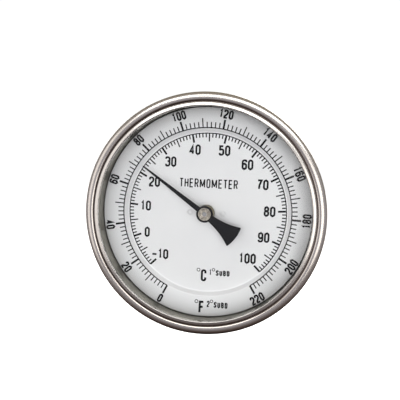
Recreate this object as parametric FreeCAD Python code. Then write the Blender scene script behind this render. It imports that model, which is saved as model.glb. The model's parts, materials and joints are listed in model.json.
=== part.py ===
"""Back-connected bimetal dial thermometer for a brewing kettle, in millimetres.

Frame: the origin is on the stem's axis, in the plane of the hexagon's rear face, where the
tapered thread starts. +Y runs along the stem, from the dial to the tip, so the dial faces -Y.
+Z is towards 12 o'clock and +X towards 3 o'clock, as somebody reading the dial sees them.
"""
import FreeCAD
import Part
import math
import os

V = FreeCAD.Vector
ORIGIN = V(0, 0, 0)
STEM_AXIS = V(0, 1, 0)

# --- driving dimensions -------------------------------------------------------------------
SHEET = 0.6                      # drawn stainless steel of the case and the dial

# head, measured from the dial's flat centre towards the reader
DIAL_Y = -16.0                   # flat centre of the dial
DIAL_R = 37.2                    # rim of the dial
DIAL_HOLE_R = 3.0
SCALE_STEP_IN_R = 28.95          # foot of the step between the two scales
SCALE_STEP_OUT_R = 30.05         # head of that step
SCALE_STEP_RISE = 1.6
DIAL_RIM_RISE = 3.06

CASE_IN_R = 37.4
CASE_OUT_R = CASE_IN_R + SHEET
CASE_BACK_Y = -10.0              # outside of the back, round the neck
CASE_STEP_R = 25.0               # the back steps forward outside this radius
CASE_STEP = 1.4
CASE_CORNER_R = 3.5
FLANGE_Y = DIAL_Y - 7.1          # front of the case's flange
FLANGE_R = 40.4

GASKET_THICK = 0.5
GLASS_THICK = 2.0
GLASS_R = 39.9
GLASS_BACK_Y = FLANGE_Y - GASKET_THICK
GLASS_FRONT_Y = GLASS_BACK_Y - GLASS_THICK

BEZEL_R = 41.3                   # outside of the bezel
BEZEL_FRONT_Y = DIAL_Y - 11.2    # crests of the bead and of the outer roll
BEZEL_WALL = 0.7
BEAD_R = 0.65                    # bead along the bezel's inner lip
BEAD_CENTRE_R = 37.6
ROLL_R = 1.6                     # outer roll, as deep as the glass lies behind the crests
GROOVE_R = 38.35

# connection and stem
HEX_FLATS = 27.0
HEX_LENGTH = 8.0
FACE_IN_R = 11.0                 # the hexagon's face is undercut inside this radius
UNDERCUT = 0.4
COLLAR_R = 13.2
NECK_R = 8.0
NECK_FRONT_Y = -12.4
SPIGOT_R = 4.2                   # journal that the dial turns on
SPIGOT_FRONT_Y = -15.0
THREAD_PITCH = 25.4 / 14         # 1/2-14 NPT
THREAD_TURNS = 8
THREAD_SMALL_R = 20.715 / 2      # crest radius at the thread's small end
THREAD_DEPTH = 1.35
THREAD_TAPER = 1 / 32            # of the radius, along the axis
STEM_R = 3.175                   # 1/4 inch tube
STEM_IN_R = 2.75
STEM_TIP_Y = 65.0
SOCKET_R = 3.0                   # turned-down end of the tube, held in the connection
SOCKET_Y = 6.5

# movement
SPINDLE_R = 0.8
RUNNING = 0.04                   # radial clearance of every running fit
HELIX_R = 2.0
HELIX_PITCH = 2.4
HELIX_TURNS = 14
HELIX_START_Y = 21.5
STRIP_WIDTH = 1.5
STRIP_THICK = 0.3
POINTER_Y = -20.6                # front of the blade
POINTER_THICK = 0.3
POINTER_TIP_R = 27.9
HUB_R = 2.95
HUB_DISC_R = 2.27
HUB_FRONT_Y = -21.1
DEGREES_PER_C = 270 / 110        # the Celsius scale runs from -10 to 100 over 270 degrees
READING_C = 22.6

# calibration gear pair
MODULE = 0.5
GEAR_TEETH = 60
PINION_TEETH = 12
PRESSURE_ANGLE = math.radians(20)
TOOTH_THINNING = 0.06
SECTOR_GAPS = 9                  # tooth gaps cut in the dial's gear, centred on 6 o'clock
GEAR_Y = -13.9
GEAR_THICK = 1.0
GEAR_DISTANCE = MODULE * (GEAR_TEETH + PINION_TEETH) / 2
SCREW_R = 1.25
SCREW_HEAD_R = 2.3
RIVET_X = 6.0

# places worked out from these dimensions
COLLAR_FRONT_Y = CASE_BACK_Y + 0.5
THREAD_END_Y = THREAD_TURNS * THREAD_PITCH
CLIP_GROOVE_DEPTH = 0.3
RETAINER_THICK = 0.4
RETAINER_Y = GEAR_Y - 0.05 - RETAINER_THICK
RIVET_SHANK_R = 0.55
BUSH_R = 2.5
BUSH_FRONT_Y = CASE_BACK_Y - 2.0
BUSH_BACK_Y = CASE_BACK_Y + 0.4
SEAL_DEPTH = 0.75                # countersink for the screw's seal
PINION_THICK = 1.2
PINION_Y = GEAR_Y - 0.1
SCREW_CLIP_Y = BUSH_FRONT_Y - RUNNING - 0.4
FRONT_BUSH_Y = DIAL_Y - 2.3
HELIX_END_Y = HELIX_START_Y + HELIX_PITCH * HELIX_TURNS + STRIP_WIDTH + 0.1


# --- helpers ------------------------------------------------------------------------------
def turned(start, *steps):
    """Turn an outline of (radius, y) points round the stem's axis.

    A step is either the end of a straight line, or the middle and the end of an arc.
    """
    edges = []
    here = V(start[0], start[1], 0)
    for step in steps + (start,):
        if isinstance(step[0], tuple):
            middle, end = (V(p[0], p[1], 0) for p in step)
            edges.append(Part.Arc(here, middle, end).toShape())
        else:
            end = V(step[0], step[1], 0)
            edges.append(Part.makeLine(here, end))
        here = end
    return Part.Face(Part.Wire(edges)).revolve(ORIGIN, STEM_AXIS, 360)


def tube(inner, outer, front, back):
    """A ring or sleeve between two radii, from y = front to y = back."""
    return turned((inner, front), (outer, front), (outer, back), (inner, back))


def rod(radius, front, back, x=0.0, z=0.0):
    return Part.makeCylinder(radius, back - front, V(x, front, z), STEM_AXIS)


def plate(wire, front, thickness):
    """Extrude a flat XZ outline towards +Y."""
    wire.translate(V(0, front, 0))
    return Part.Face(wire).extrude(V(0, thickness, 0))


def polar(radius, angle):
    """A point of the XZ plane; the angle is counted from +X towards +Z."""
    return V(radius * math.cos(angle), 0, radius * math.sin(angle))


def involute(angle):
    return math.tan(angle) - angle


def tooth_gaps(teeth, tip, root, centres, front, thickness):
    """Cutting shapes for the gaps of an involute gear, centred on the given angles."""
    pitch_r = MODULE * teeth / 2
    base_r = pitch_r * math.cos(PRESSURE_ANGLE)
    half_tooth = math.pi / (2 * teeth) - TOOTH_THINNING / (2 * pitch_r) + involute(PRESSURE_ANGLE)
    levels = 7
    flank = []
    for level in range(levels):
        radius = root + (tip - root) * level / (levels - 1)
        slope = math.acos(min(1.0, base_r / radius))
        flank.append((radius, math.pi / teeth - half_tooth + involute(slope)))
    gaps = []
    for centre in centres:
        left = [polar(radius, centre - half) for radius, half in flank]
        right = [polar(radius, centre + half) for radius, half in reversed(flank)]
        outline = left + [polar(tip + MODULE, centre)] + right
        wire = Part.makePolygon(outline + [outline[0]])
        gaps.append(plate(wire, front - 0.1, thickness + 0.2))
    return gaps


def open_ring(inner, outer, front, back, gap_width):
    """A retaining clip: a flat ring with a gap at 12 o'clock."""
    ring = tube(inner, outer, front, back)
    return ring.cut(Part.makeBox(gap_width, back - front + 2, outer + 1,
                                 V(-gap_width / 2, front - 1, 0)))


# --- head ---------------------------------------------------------------------------------
def rear_case():
    """Drawn cup with a stepped back, a hole for the neck and one for the screw's bush."""
    step_y = CASE_BACK_Y - CASE_STEP
    corner = CASE_CORNER_R
    inner_corner = corner - SHEET
    corner_y = step_y - corner
    slant = math.sqrt(0.5)
    cup = turned(
        (NECK_R, CASE_BACK_Y), (CASE_STEP_R, CASE_BACK_Y), (CASE_STEP_R + CASE_STEP, step_y),
        (CASE_OUT_R - corner, step_y),
        ((CASE_OUT_R - corner + corner * slant, corner_y + corner * slant), (CASE_OUT_R, corner_y)),
        (CASE_OUT_R, FLANGE_Y + SHEET), (FLANGE_R, FLANGE_Y + SHEET), (FLANGE_R, FLANGE_Y),
        (CASE_IN_R, FLANGE_Y), (CASE_IN_R, corner_y),
        ((CASE_IN_R - inner_corner + inner_corner * slant, corner_y + inner_corner * slant),
         (CASE_IN_R - inner_corner, step_y - SHEET)),
        (CASE_STEP_R + CASE_STEP - SHEET / 2, step_y - SHEET),
        (CASE_STEP_R - SHEET / 2, CASE_BACK_Y - SHEET), (NECK_R, CASE_BACK_Y - SHEET))
    return cup.cut(rod(BUSH_R, CASE_BACK_Y - 5, CASE_BACK_Y + 5, z=-GEAR_DISTANCE))


def bezel_ring():
    """Rolled ring: a bead against the glass, a groove, an outer roll and a crimp behind the flange."""
    bead_y = BEZEL_FRONT_Y + BEAD_R
    roll_y = BEZEL_FRONT_Y + ROLL_R
    roll_centre_r = BEZEL_R - ROLL_R
    groove_y = roll_y - math.sqrt(ROLL_R ** 2 - (roll_centre_r - GROOVE_R) ** 2)
    hollow_r = ROLL_R - BEZEL_WALL
    cavity_r = BEZEL_R - BEZEL_WALL
    crimp_front = FLANGE_Y + SHEET
    crimp_back = crimp_front + BEZEL_WALL
    crimp_corner = 0.8
    bend = crimp_corner * (1 - math.sqrt(0.5))
    return turned(
        (BEAD_CENTRE_R - BEAD_R, bead_y),
        ((BEAD_CENTRE_R, BEZEL_FRONT_Y), (BEAD_CENTRE_R + BEAD_R * 0.936, bead_y - BEAD_R * 0.352)),
        (GROOVE_R, groove_y),
        ((roll_centre_r, BEZEL_FRONT_Y), (BEZEL_R, roll_y)),
        (BEZEL_R, crimp_back - crimp_corner),
        ((BEZEL_R - bend, crimp_back - bend), (BEZEL_R - crimp_corner, crimp_back)),
        (CASE_OUT_R + 0.6, crimp_back), (CASE_OUT_R + 0.6, crimp_front), (cavity_r, crimp_front),
        (cavity_r, roll_y),
        ((roll_centre_r, roll_y - hollow_r), (roll_centre_r - hollow_r, roll_y)),
        (BEAD_CENTRE_R - BEAD_R * 0.5, GLASS_FRONT_Y),
        (BEAD_CENTRE_R - BEAD_R, bead_y + 0.4))


def window_glass():
    bevel = 0.25
    return turned((0, GLASS_FRONT_Y), (GLASS_R - bevel, GLASS_FRONT_Y),
                  (GLASS_R, GLASS_FRONT_Y + bevel), (GLASS_R, GLASS_BACK_Y - bevel),
                  (GLASS_R - bevel, GLASS_BACK_Y), (0, GLASS_BACK_Y))


def window_gasket():
    """Rubber ring under the glass, with a rim round its edge."""
    inner_r = CASE_IN_R + 0.3
    rim_front = GLASS_FRONT_Y + 0.3
    return turned((inner_r, GLASS_BACK_Y), (GLASS_R + 0.1, GLASS_BACK_Y), (GLASS_R + 0.1, rim_front),
                  (FLANGE_R, rim_front), (FLANGE_R, FLANGE_Y), (inner_r, FLANGE_Y))


# --- connection and stem ------------------------------------------------------------------
def thread_crest(y):
    return THREAD_SMALL_R + (THREAD_END_Y - y) * THREAD_TAPER


def threaded_connection():
    """Spigot, neck, collar, hexagon and tapered thread, bored through for the stem's tube."""
    crest_flat = THREAD_PITCH * 0.06
    flank = (THREAD_PITCH - 2 * crest_flat) / 2
    outline = [(SPIGOT_R, SPIGOT_FRONT_Y), (SPIGOT_R, NECK_FRONT_Y), (NECK_R, NECK_FRONT_Y),
               (NECK_R, COLLAR_FRONT_Y), (COLLAR_R, COLLAR_FRONT_Y), (COLLAR_R, -HEX_LENGTH),
               (FACE_IN_R, -HEX_LENGTH), (FACE_IN_R, -UNDERCUT),
               (thread_crest(0) - THREAD_DEPTH, -UNDERCUT), (thread_crest(0) - THREAD_DEPTH, 0.0)]
    for turn in range(THREAD_TURNS):
        start = turn * THREAD_PITCH
        outline.append((thread_crest(start) - THREAD_DEPTH, start + crest_flat))
        outline.append((thread_crest(start), start + crest_flat + flank))
        outline.append((thread_crest(start), start + 2 * crest_flat + flank))
        outline.append((thread_crest(start) - THREAD_DEPTH, start + THREAD_PITCH))
    outline += [(SOCKET_R, THREAD_END_Y), (SOCKET_R, SOCKET_Y), (STEM_IN_R, SOCKET_Y),
                (STEM_IN_R, SPIGOT_FRONT_Y)]
    body = turned(outline[0], *outline[1:])
    corner_r = HEX_FLATS / 2 / math.cos(math.radians(30))
    corners = [polar(corner_r, math.radians(60 * k)) for k in range(7)]
    hexagon = plate(Part.makePolygon(corners), -HEX_LENGTH, HEX_LENGTH)
    chamfer = 0.9
    barrel = turned((FACE_IN_R, -HEX_LENGTH), (corner_r - chamfer, -HEX_LENGTH),
                    (corner_r, -HEX_LENGTH + chamfer / 2), (corner_r, -chamfer / 2),
                    (corner_r - chamfer, 0), (FACE_IN_R, 0))
    ring_groove = tube(SPIGOT_R - CLIP_GROOVE_DEPTH, SPIGOT_R + 1, RETAINER_Y,
                       RETAINER_Y + RETAINER_THICK)
    return body.fuse(hexagon.common(barrel)).cut(ring_groove).removeSplitter()


def case_gasket():
    return tube(NECK_R, COLLAR_R - 0.3, CASE_BACK_Y, COLLAR_FRONT_Y)


def case_nut():
    """Ring nut inside the case, with four spanner notches."""
    back = CASE_BACK_Y - SHEET
    nut = tube(NECK_R, 11.5, back - 1.4, back)
    for quarter in range(4):
        notch = Part.makeBox(2.0, 3.0, 2.0, V(-1.0, back - 2.2, 10.4))
        notch.rotate(ORIGIN, STEM_AXIS, 45 + 90 * quarter)
        nut = nut.cut(notch)
    return nut


def stem_tube():
    """Probe tube; its turned-down end is pressed and welded into the connection."""
    end_y = STEM_TIP_Y - STEM_R
    return turned((STEM_IN_R, SOCKET_Y), (SOCKET_R, SOCKET_Y), (SOCKET_R, THREAD_END_Y),
                  (STEM_R, THREAD_END_Y), (STEM_R, end_y), (STEM_IN_R, end_y))


def stem_tip():
    """Domed plug welded into the end of the stem's tube."""
    start = STEM_TIP_Y - STEM_R
    slant = STEM_R * math.sqrt(0.5)
    return turned((0, start - 1.5), (STEM_IN_R, start - 1.5), (STEM_IN_R, start), (STEM_R, start),
                  ((slant, start + slant), (0, STEM_TIP_Y)))


def front_bush():
    """Brass bearing in the connection's front end; it stands through the dial."""
    return turned((SPINDLE_R + RUNNING, FRONT_BUSH_Y), (STEM_IN_R - 0.3, FRONT_BUSH_Y),
                  (STEM_IN_R, FRONT_BUSH_Y + 0.3), (STEM_IN_R, SPIGOT_FRONT_Y + 4.0),
                  (SPINDLE_R + RUNNING, SPIGOT_FRONT_Y + 4.0))


def rear_bush():
    return tube(SPINDLE_R + RUNNING, STEM_IN_R, 12.0, 15.0)


def helix_anchor():
    """Plug that holds the lower end of the helix in the stem."""
    return rod(STEM_IN_R, HELIX_END_Y, HELIX_END_Y + 3.0)


def bimetal_helix():
    """Strip wound edge-on into a helix, from the collar on the spindle to the anchor."""
    height = HELIX_PITCH * HELIX_TURNS
    path = Part.makeHelix(HELIX_PITCH, height, HELIX_R)
    inner, outer = HELIX_R - STRIP_THICK / 2, HELIX_R + STRIP_THICK / 2
    low, high = -STRIP_WIDTH / 2, STRIP_WIDTH / 2
    section = Part.makePolygon([V(inner, 0, low), V(outer, 0, low), V(outer, 0, high),
                                V(inner, 0, high), V(inner, 0, low)])
    helix = Part.Wire(path.Edges).makePipeShell([section], True, True)
    helix.rotate(ORIGIN, V(1, 0, 0), -90)
    helix.translate(V(0, HELIX_START_Y + STRIP_WIDTH / 2, 0))
    return helix


def dial_retaining_ring():
    return open_ring(SPIGOT_R - CLIP_GROOVE_DEPTH, SPIGOT_R + 0.75, RETAINER_Y,
                     RETAINER_Y + RETAINER_THICK, 2.4)


def disc_spring():
    """Conical washer behind the gear: its friction keeps the dial where it is set."""
    thick = 0.15
    gear_back = GEAR_Y + GEAR_THICK
    return turned((SPIGOT_R + 0.1, NECK_FRONT_Y - thick), (SPIGOT_R + 2.2, gear_back + 0.05),
                  (SPIGOT_R + 2.2, gear_back + 0.05 + thick), (SPIGOT_R + 0.1, NECK_FRONT_Y))


# --- dial ---------------------------------------------------------------------------------
def dial_plate():
    """Pressed dial in two levels, so that both scales lie close under the pointer."""
    back = DIAL_Y + SHEET
    step_y = DIAL_Y - SCALE_STEP_RISE
    rim_y = DIAL_Y - DIAL_RIM_RISE
    shift = 0.25
    dial = turned((DIAL_HOLE_R, DIAL_Y), (SCALE_STEP_IN_R, DIAL_Y), (SCALE_STEP_OUT_R, step_y),
                  (DIAL_R, rim_y), (DIAL_R, rim_y + SHEET), (SCALE_STEP_OUT_R + shift, step_y + SHEET),
                  (SCALE_STEP_IN_R + shift, back), (DIAL_HOLE_R, back))
    for side in (-1, 1):
        dial = dial.cut(rod(RIVET_SHANK_R, DIAL_Y - 1, back + 1, x=side * RIVET_X))
    return dial


def dial_gear():
    """Brass gear under the dial; the teeth end on both sides, which limits the adjustment."""
    tip = MODULE * (GEAR_TEETH / 2 + 0.7)
    root = MODULE * (GEAR_TEETH / 2 - 1.2)
    half = (SECTOR_GAPS - 1) // 2
    centres = [math.radians(-90 + 360 / GEAR_TEETH * k) for k in range(-half, half + 1)]
    gear = tube(SPIGOT_R + RUNNING, tip, GEAR_Y, GEAR_Y + GEAR_THICK)
    for gap in tooth_gaps(GEAR_TEETH, tip + 0.1, root, centres, GEAR_Y, GEAR_THICK):
        gear = gear.cut(gap)
    for side in (-1, 1):
        gear = gear.cut(rod(RIVET_SHANK_R, GEAR_Y - 1, GEAR_Y + 2, x=side * RIVET_X))
        window = plate(Part.Wire(Part.Circle(polar(10.5, math.radians(90 - 45 * side)),
                                             STEM_AXIS, 2.2).toShape()), GEAR_Y - 1, 3.0)
        gear = gear.cut(window)
    return gear


def dial_rivets():
    """Two shouldered rivets that join the dial to its gear."""
    rivets = []
    for side in (-1, 1):
        x = side * RIVET_X
        head = rod(RIVET_SHANK_R + 0.25, DIAL_Y - 0.12, DIAL_Y, x=x)
        shank = rod(RIVET_SHANK_R, DIAL_Y - 0.12, GEAR_Y + GEAR_THICK, x=x)
        shoulder = rod(0.95, DIAL_Y + SHEET, GEAR_Y, x=x)
        rivets.append(head.fuse([shank, shoulder]).removeSplitter())
    return Part.makeCompound(rivets)


# --- calibration screw --------------------------------------------------------------------
def on_screw_axis(shape):
    """Move a part made round the stem's axis onto the calibration screw's axis."""
    shape.translate(V(0, 0, -GEAR_DISTANCE))
    return shape


def screw_bush():
    """Brass bearing pressed into the back of the case, countersunk for the seal."""
    seal_front = BUSH_BACK_Y - SEAL_DEPTH
    return on_screw_axis(turned(
        (SCREW_R + RUNNING, BUSH_FRONT_Y), (BUSH_R, BUSH_FRONT_Y), (BUSH_R, BUSH_BACK_Y),
        (SCREW_R + SEAL_DEPTH, BUSH_BACK_Y), (SCREW_R + SEAL_DEPTH, seal_front),
        (SCREW_R + RUNNING, seal_front)))


def screw_seal():
    ring_r = 0.33
    centre = V(0, BUSH_BACK_Y - SEAL_DEPTH + ring_r, 0)
    return on_screw_axis(Part.makeTorus(SCREW_R + RUNNING + ring_r, ring_r, centre, STEM_AXIS))


def calibration_screw():
    """Slotted screw; its shank carries the pinion and a groove for the clip."""
    head_back = BUSH_BACK_Y + RUNNING + 1.5
    bevel = 0.3
    screw = turned((0, PINION_Y), (SCREW_R, PINION_Y), (SCREW_R, SCREW_CLIP_Y),
                   (SCREW_R - 0.35, SCREW_CLIP_Y), (SCREW_R - 0.35, BUSH_FRONT_Y - RUNNING),
                   (SCREW_R, BUSH_FRONT_Y - RUNNING), (SCREW_R, BUSH_BACK_Y + RUNNING),
                   (SCREW_HEAD_R, BUSH_BACK_Y + RUNNING), (SCREW_HEAD_R, head_back - bevel),
                   (SCREW_HEAD_R - bevel, head_back), (0, head_back))
    slot = Part.makeBox(2 * SCREW_HEAD_R + 1, 1.0, 0.6, V(-SCREW_HEAD_R - 0.5, head_back - 0.8, -0.3))
    return on_screw_axis(screw.cut(slot))


def calibration_pinion():
    tip = MODULE * (PINION_TEETH / 2 + 1.0)
    root = MODULE * (PINION_TEETH / 2 - 0.9)
    centres = [math.radians(90 + 360 / PINION_TEETH * (k + 0.5)) for k in range(PINION_TEETH)]
    pinion = tube(SCREW_R, tip, PINION_Y, PINION_Y + PINION_THICK)
    for gap in tooth_gaps(PINION_TEETH, tip + 0.1, root, centres, PINION_Y, PINION_THICK):
        pinion = pinion.cut(gap)
    return on_screw_axis(pinion)


def screw_clip():
    return on_screw_axis(open_ring(SCREW_R - 0.35, SCREW_R + 1.1, SCREW_CLIP_Y,
                                   BUSH_FRONT_Y - RUNNING, 1.5))


# --- pointer ------------------------------------------------------------------------------
def towards_reading(shape):
    """Turn a part drawn pointing at 12 o'clock to the reading."""
    from_x = 225 - (READING_C + 10) * DEGREES_PER_C
    shape.rotate(ORIGIN, STEM_AXIS, 90 - from_x)
    return shape


def pointer():
    """Tapered blade with a round middle and a flared tail, cut from black sheet."""
    tip_half, root_half = 0.25, 0.92
    waist_half, waist_z = 1.3, -2.6
    tail_r, tail_half = 13.4, math.radians(17.5)
    corner_x, corner_z = tail_r * math.sin(tail_half), -tail_r * math.cos(tail_half)

    def side(sign):
        root, shoulder = V(sign * root_half, 0, 0), V(sign * waist_half, 0, 0)
        waist = V(sign * waist_half, 0, waist_z)
        bow = V(sign * (waist_half + corner_x) * 0.42, 0, (waist_z + corner_z) * 0.53)
        corner = V(sign * corner_x, 0, corner_z)
        blade = [Part.makeLine(V(sign * tip_half, 0, POINTER_TIP_R - 0.3), root),
                 Part.makeLine(root, shoulder), Part.makeLine(shoulder, waist),
                 Part.Arc(waist, bow, corner).toShape()]
        return blade

    tip = Part.Arc(V(-tip_half, 0, POINTER_TIP_R - 0.3), V(0, 0, POINTER_TIP_R),
                   V(tip_half, 0, POINTER_TIP_R - 0.3)).toShape()
    tail = Part.Arc(V(-corner_x, 0, corner_z), V(0, 0, -tail_r - 0.3),
                    V(corner_x, 0, corner_z)).toShape()
    outline = Part.Wire(Part.__sortEdges__([tip, tail] + side(-1) + side(1)))
    blade = plate(outline, POINTER_Y, POINTER_THICK)
    middle = rod(HUB_R, POINTER_Y, POINTER_Y + POINTER_THICK)
    flat = blade.fuse(middle).removeSplitter()
    return towards_reading(flat.cut(rod(HUB_DISC_R, POINTER_Y - 1, POINTER_Y + 1)))


def pointer_ring():
    """Raised black collar round the rivet head."""
    edge = 0.12
    return turned((HUB_DISC_R, HUB_FRONT_Y), (HUB_R - edge, HUB_FRONT_Y), (HUB_R, HUB_FRONT_Y + edge),
                  (HUB_R, POINTER_Y), (HUB_DISC_R, POINTER_Y))


def pointer_hub():
    """Brass hub pressed on the spindle and riveted through the pointer."""
    back = POINTER_Y + POINTER_THICK
    return turned((SPINDLE_R, HUB_FRONT_Y + 0.05), (HUB_DISC_R, HUB_FRONT_Y + 0.05),
                  (HUB_DISC_R, back), (HUB_R - 0.35, back), (HUB_R - 0.35, back + 0.9),
                  (SPINDLE_R, back + 0.9))


def spindle():
    return rod(SPINDLE_R, HUB_FRONT_Y + 0.05, HELIX_START_Y - 0.2)


def helix_collar():
    """Collar on the spindle's end that carries the upper end of the helix."""
    return tube(SPINDLE_R, 1.9, HELIX_START_Y - 3.2, HELIX_START_Y - 0.2)


PARTS = [rear_case, bezel_ring, window_glass, window_gasket, threaded_connection, case_gasket,
         case_nut, stem_tube, stem_tip, front_bush, rear_bush, helix_anchor, bimetal_helix,
         dial_retaining_ring, disc_spring, screw_bush, screw_seal, dial_plate, dial_gear,
         dial_rivets, calibration_screw, calibration_pinion, screw_clip, pointer, pointer_ring,
         pointer_hub, spindle, helix_collar]

os.makedirs("parts", exist_ok=True)
for make_part in PARTS:
    solid = make_part()
    solid.exportStep("parts/%s.step" % make_part.__name__)
    box = solid.BoundBox
    print("%-22s %d solid(s) %s volume %9.2f  y %6.2f to %6.2f  r %5.2f"
          % (make_part.__name__, len(solid.Solids), "valid" if solid.isValid() else "INVALID",
             solid.Volume, box.YMin, box.YMax, max(box.XMax, box.ZMax)))
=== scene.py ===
"""Looks of the dial thermometer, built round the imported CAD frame.

Everything is in the frame's own place: +Y runs from the dial to the stem's tip, the dial faces -Y,
+Z is towards 12 o'clock. Sizes here are in millimetres, and MM turns them into Blender's metres.
"""
import bmesh
import bpy
import json
import math
from mathutils import Matrix, Vector


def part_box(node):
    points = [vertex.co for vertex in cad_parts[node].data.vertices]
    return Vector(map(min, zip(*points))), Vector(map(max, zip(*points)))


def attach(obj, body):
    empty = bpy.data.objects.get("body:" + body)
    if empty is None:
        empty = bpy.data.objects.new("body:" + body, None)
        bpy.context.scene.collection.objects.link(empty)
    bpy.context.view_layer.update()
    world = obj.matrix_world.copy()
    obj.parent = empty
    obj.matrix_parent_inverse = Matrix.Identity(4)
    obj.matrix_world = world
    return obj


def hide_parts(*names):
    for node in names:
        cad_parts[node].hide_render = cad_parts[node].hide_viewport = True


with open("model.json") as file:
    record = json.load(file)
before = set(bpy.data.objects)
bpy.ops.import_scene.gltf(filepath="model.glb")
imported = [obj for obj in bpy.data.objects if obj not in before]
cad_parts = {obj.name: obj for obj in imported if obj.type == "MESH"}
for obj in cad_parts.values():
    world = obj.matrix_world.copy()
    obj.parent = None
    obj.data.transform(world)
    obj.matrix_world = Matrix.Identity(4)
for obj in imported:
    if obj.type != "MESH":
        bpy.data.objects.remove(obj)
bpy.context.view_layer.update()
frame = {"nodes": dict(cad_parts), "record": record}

MM = 0.001
TAU = 2 * math.pi


def node_box(node):
    """Lowest and highest corners of a CAD node, in millimetres."""
    low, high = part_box(node)
    return [v / MM for v in low], [v / MM for v in high]


# --- sizes read from the frame ------------------------------------------------------------
bezel_low, bezel_high = node_box("bezel_ring")
case_low, case_high = node_box("rear_case")
glass_low, glass_high = node_box("window_glass")
dial_low, dial_high = node_box("dial_plate")
connection_low, connection_high = node_box("threaded_connection")
stem_low, stem_high = node_box("stem_tube")
pointer_low, pointer_high = node_box("pointer")
hub_low, hub_high = node_box("pointer_hub")
ring_low, ring_high = node_box("pointer_ring")
screw_low, screw_high = node_box("calibration_screw")

# --- other sizes --------------------------------------------------------------------------
SHEET = 0.6                                  # thickness of the case and the dial
DIAL_R = dial_high[0]
DIAL_RIM_Y = dial_low[1]
DIAL_Y = dial_high[1] - SHEET                # flat centre of the dial, where Celsius is printed
STEP_IN_R, STEP_OUT_R = 28.95, 30.05         # foot and top of the step between the two levels
STEP_Y = DIAL_Y - 1.6
READING_C = 22.6

BEZEL_WALL = 0.7
LIP_R, LIP_OUT_R = 36.6, 38.2                # bead that lies on the glass
CREST_R, CROWN_DEEP = 39.3, 1.15             # outer roll of the bezel
CROWN_IN = 1.35                              # half-width of the roll inside its crest
GROOVE_DEEP = 1.1                            # groove between bead and roll
CASE_R = 37.5                                # inside of the case's wall
INSIDE_R, INSIDE_Y = 37.7, -12.5             # the painted shade on the case's inner wall is within these

BORE_R, SOCKET_R = 2.75, 3.0                 # the connection's bore and its seat for the stem
SPIGOT_R, NECK_R, COLLAR_R = 4.2, 8.0, 13.2  # from the dial to the back of the case
NECK_FRONT, COLLAR_FRONT = -12.4, -9.5
HEX_FLATS, HEX_FRONT = 27.0, -8.0
FACE_IN_R, UNDERCUT = 11.0, 0.4              # turned recess in the hexagon's rear face


# --- camera -------------------------------------------------------------------------------
AZIMUTH, ELEVATION, ROLL = math.radians(7.85), math.radians(5.87), math.radians(2.34)
DISTANCE = 166.4
LENS = 41.57                                 # mm, on a 36 mm frame
SHIFT = (-0.016, 0.0325)                     # the head sits a little right of and below the middle


def direction(azimuth, elevation):
    """Unit vector from the dial; azimuth 0 is straight in front of it, and grows towards +X."""
    return Vector((math.sin(azimuth) * math.cos(elevation), -math.cos(azimuth) * math.cos(elevation),
                   math.sin(elevation)))


def make_camera():
    data = bpy.data.cameras.new("camera")
    data.sensor_width = 36.0
    data.lens = LENS
    data.shift_x, data.shift_y = SHIFT
    data.clip_start, data.clip_end = 0.01, 20.0
    target = Vector((0, DIAL_Y, 0)) * MM
    away = direction(AZIMUTH, ELEVATION)
    camera = bpy.data.objects.new("camera", data)
    turn = (-away).to_track_quat("-Z", "Y").to_matrix().to_4x4() @ Matrix.Rotation(ROLL, 4, "Z")
    camera.matrix_world = Matrix.Translation(target + away * DISTANCE * MM) @ turn
    bpy.context.collection.objects.link(camera)
    bpy.context.scene.camera = camera


# --- outlines -----------------------------------------------------------------------------
def arc(centre, radius, start, end, steps=12):
    """Points of an arc; the angles are in degrees."""
    points = []
    for k in range(steps + 1):
        angle = math.radians(start + (end - start) * k / steps)
        points.append((centre[0] + radius * math.cos(angle), centre[1] + radius * math.sin(angle)))
    return points


def rounded(points, radius, closed=False, steps=5):
    """Round the corners of an outline. A third value in a point is its own radius."""
    result = []
    count = len(points)
    for k, point in enumerate(points):
        here = Vector(point[:2])
        wanted = point[2] if len(point) > 2 else radius
        if not wanted or (not closed and k in (0, count - 1)):
            result.append(here)
            continue
        back = Vector(points[k - 1][:2]) - here
        ahead = Vector(points[(k + 1) % count][:2]) - here
        half = back.angle(ahead) / 2
        if half > math.radians(89.5):
            result.append(here)
            continue
        reach = min(wanted / math.tan(half), back.length * 0.5, ahead.length * 0.5)
        first, last = here + back.normalized() * reach, here + ahead.normalized() * reach
        centre = here + (back.normalized() + ahead.normalized()).normalized() * (reach / math.cos(half))
        begin, finish = first - centre, last - centre
        sweep = begin.angle_signed(finish)
        for step in range(steps + 1):
            result.append(centre + Matrix.Rotation(-sweep * step / steps, 2) @ begin)
    return [(p[0], p[1]) for p in result]


# --- meshes -------------------------------------------------------------------------------
def add_piece(name, vertices, faces, body, material, replaced=(), smooth=True):
    """A mesh object that rides on a body; the vertices are in millimetres."""
    mesh = bpy.data.meshes.new(name)
    mesh.from_pydata([Vector(v) * MM for v in vertices], [], faces)
    mesh.validate()
    mesh.update()
    if smooth:
        mesh.shade_smooth()
        mesh.set_sharp_from_angle(angle=math.radians(40))
    mesh.materials.append(material)
    piece = bpy.data.objects.new(name, mesh)
    bpy.context.collection.objects.link(piece)
    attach(piece, body)
    if replaced:
        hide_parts(*replaced)
    return piece


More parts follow.
